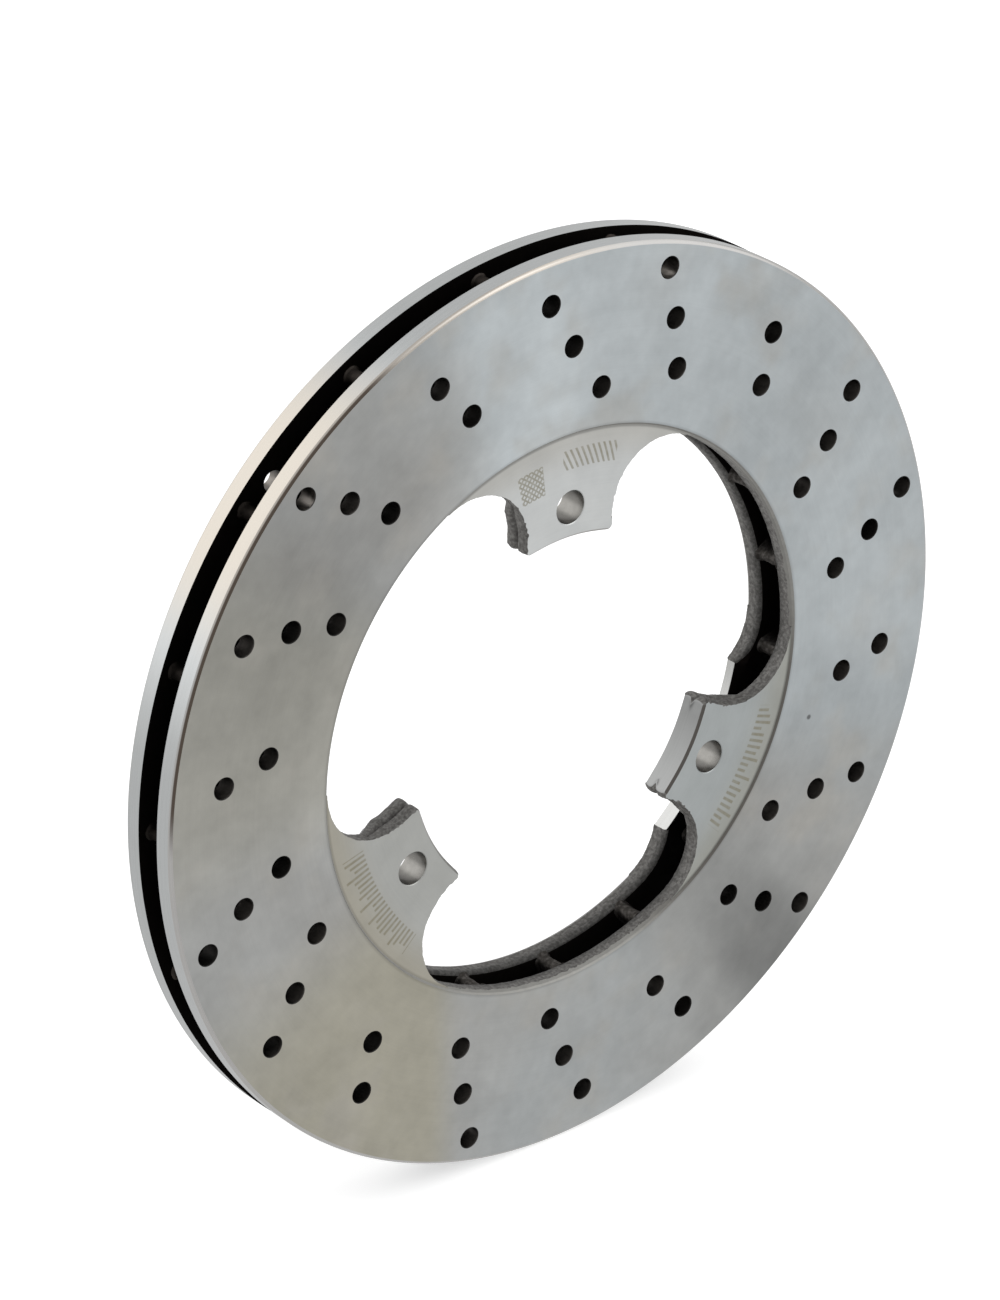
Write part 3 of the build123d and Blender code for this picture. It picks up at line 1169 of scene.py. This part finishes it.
def make_studio():
    """Soft light from all round: a base level, with brighter quarters. Each has a direction,
    the angle from it that is lit fully, the angle where its light ends, and its strength.
    The camera sees a plain white backdrop instead."""
    quarters = [
        ((-0.55, 0.69, 0.47), 12, 42, 0.60),
        ((0.33, -0.55, 0.765), 7, 20, 0.85),
        ((0.58, -0.69, -0.44), 15, 50, 0.15),
    ]
    studio = bpy.data.worlds.new("studio")
    studio.use_nodes = True
    tree = studio.node_tree
    tree.nodes.clear()
    direction = tree.nodes.new("ShaderNodeTexCoord").outputs["Generated"]
    parts = tree.nodes.new("ShaderNodeSeparateXYZ")
    tree.links.new(direction, parts.inputs[0])
    x, y, z = (Field(tree, socket) for socket in parts.outputs)
    base_level, backdrop_level = 0.68, 1.05
    level = z * 0.0 + base_level
    for (px, py, pz), full_to, reach, strength in quarters:
        toward = x * px + y * py + z * pz
        edge, full = math.cos(math.radians(reach)), math.cos(math.radians(full_to))
        level = level + toward.step(edge, full) * strength
    path = tree.nodes.new("ShaderNodeLightPath")
    to_camera = Field(tree, path.outputs["Is Camera Ray"])
    level = level + to_camera * (backdrop_level - level)
    background = tree.nodes.new("ShaderNodeBackground")
    output = tree.nodes.new("ShaderNodeOutputWorld")
    background.inputs["Color"].default_value = (1.0, 1.0, 1.0, 1.0)
    tree.links.new(level.socket, background.inputs["Strength"])
    tree.links.new(background.outputs[0], output.inputs["Surface"])
    bpy.context.scene.world = studio


def make_light(name, place, size, power):
    """A round soft light that shines on the middle of the disc."""
    lamp = bpy.data.lights.new(name, "AREA")
    lamp.shape = "DISK"
    lamp.size = size
    lamp.energy = power
    light = add_object(name, lamp)
    light.location = place
    light.rotation_euler = (-Vector(place)).to_track_quat("-Z", "Y").to_euler()


def make_camera():
    """The camera at the photo's viewing angle, a long lens from the front left and above."""
    place = Vector((-0.6485, -0.7602, 0.5059))
    aim = Vector((-0.0069, 0.0058, 0.0109))
    up = Vector((0.2726, 0.3506, 0.8960))
    data = bpy.data.cameras.new("camera")
    data.lens = 156.5
    data.sensor_width = 36.0
    camera = add_object("camera", data)
    back = (place - aim).normalized()
    right = up.cross(back).normalized()
    turn = Matrix((right, back.cross(right), back)).transposed()
    camera.matrix_world = Matrix.Translation(place) @ turn.to_4x4()
    bpy.context.scene.camera = camera


make_floor()
make_studio()
make_light("softbox_top", (1.26, -0.67, 1.02), size=2.0, power=5.0)
make_camera()
bpy.context.scene.view_settings.view_transform = "Standard"
bpy.context.scene.view_settings.look = "None"
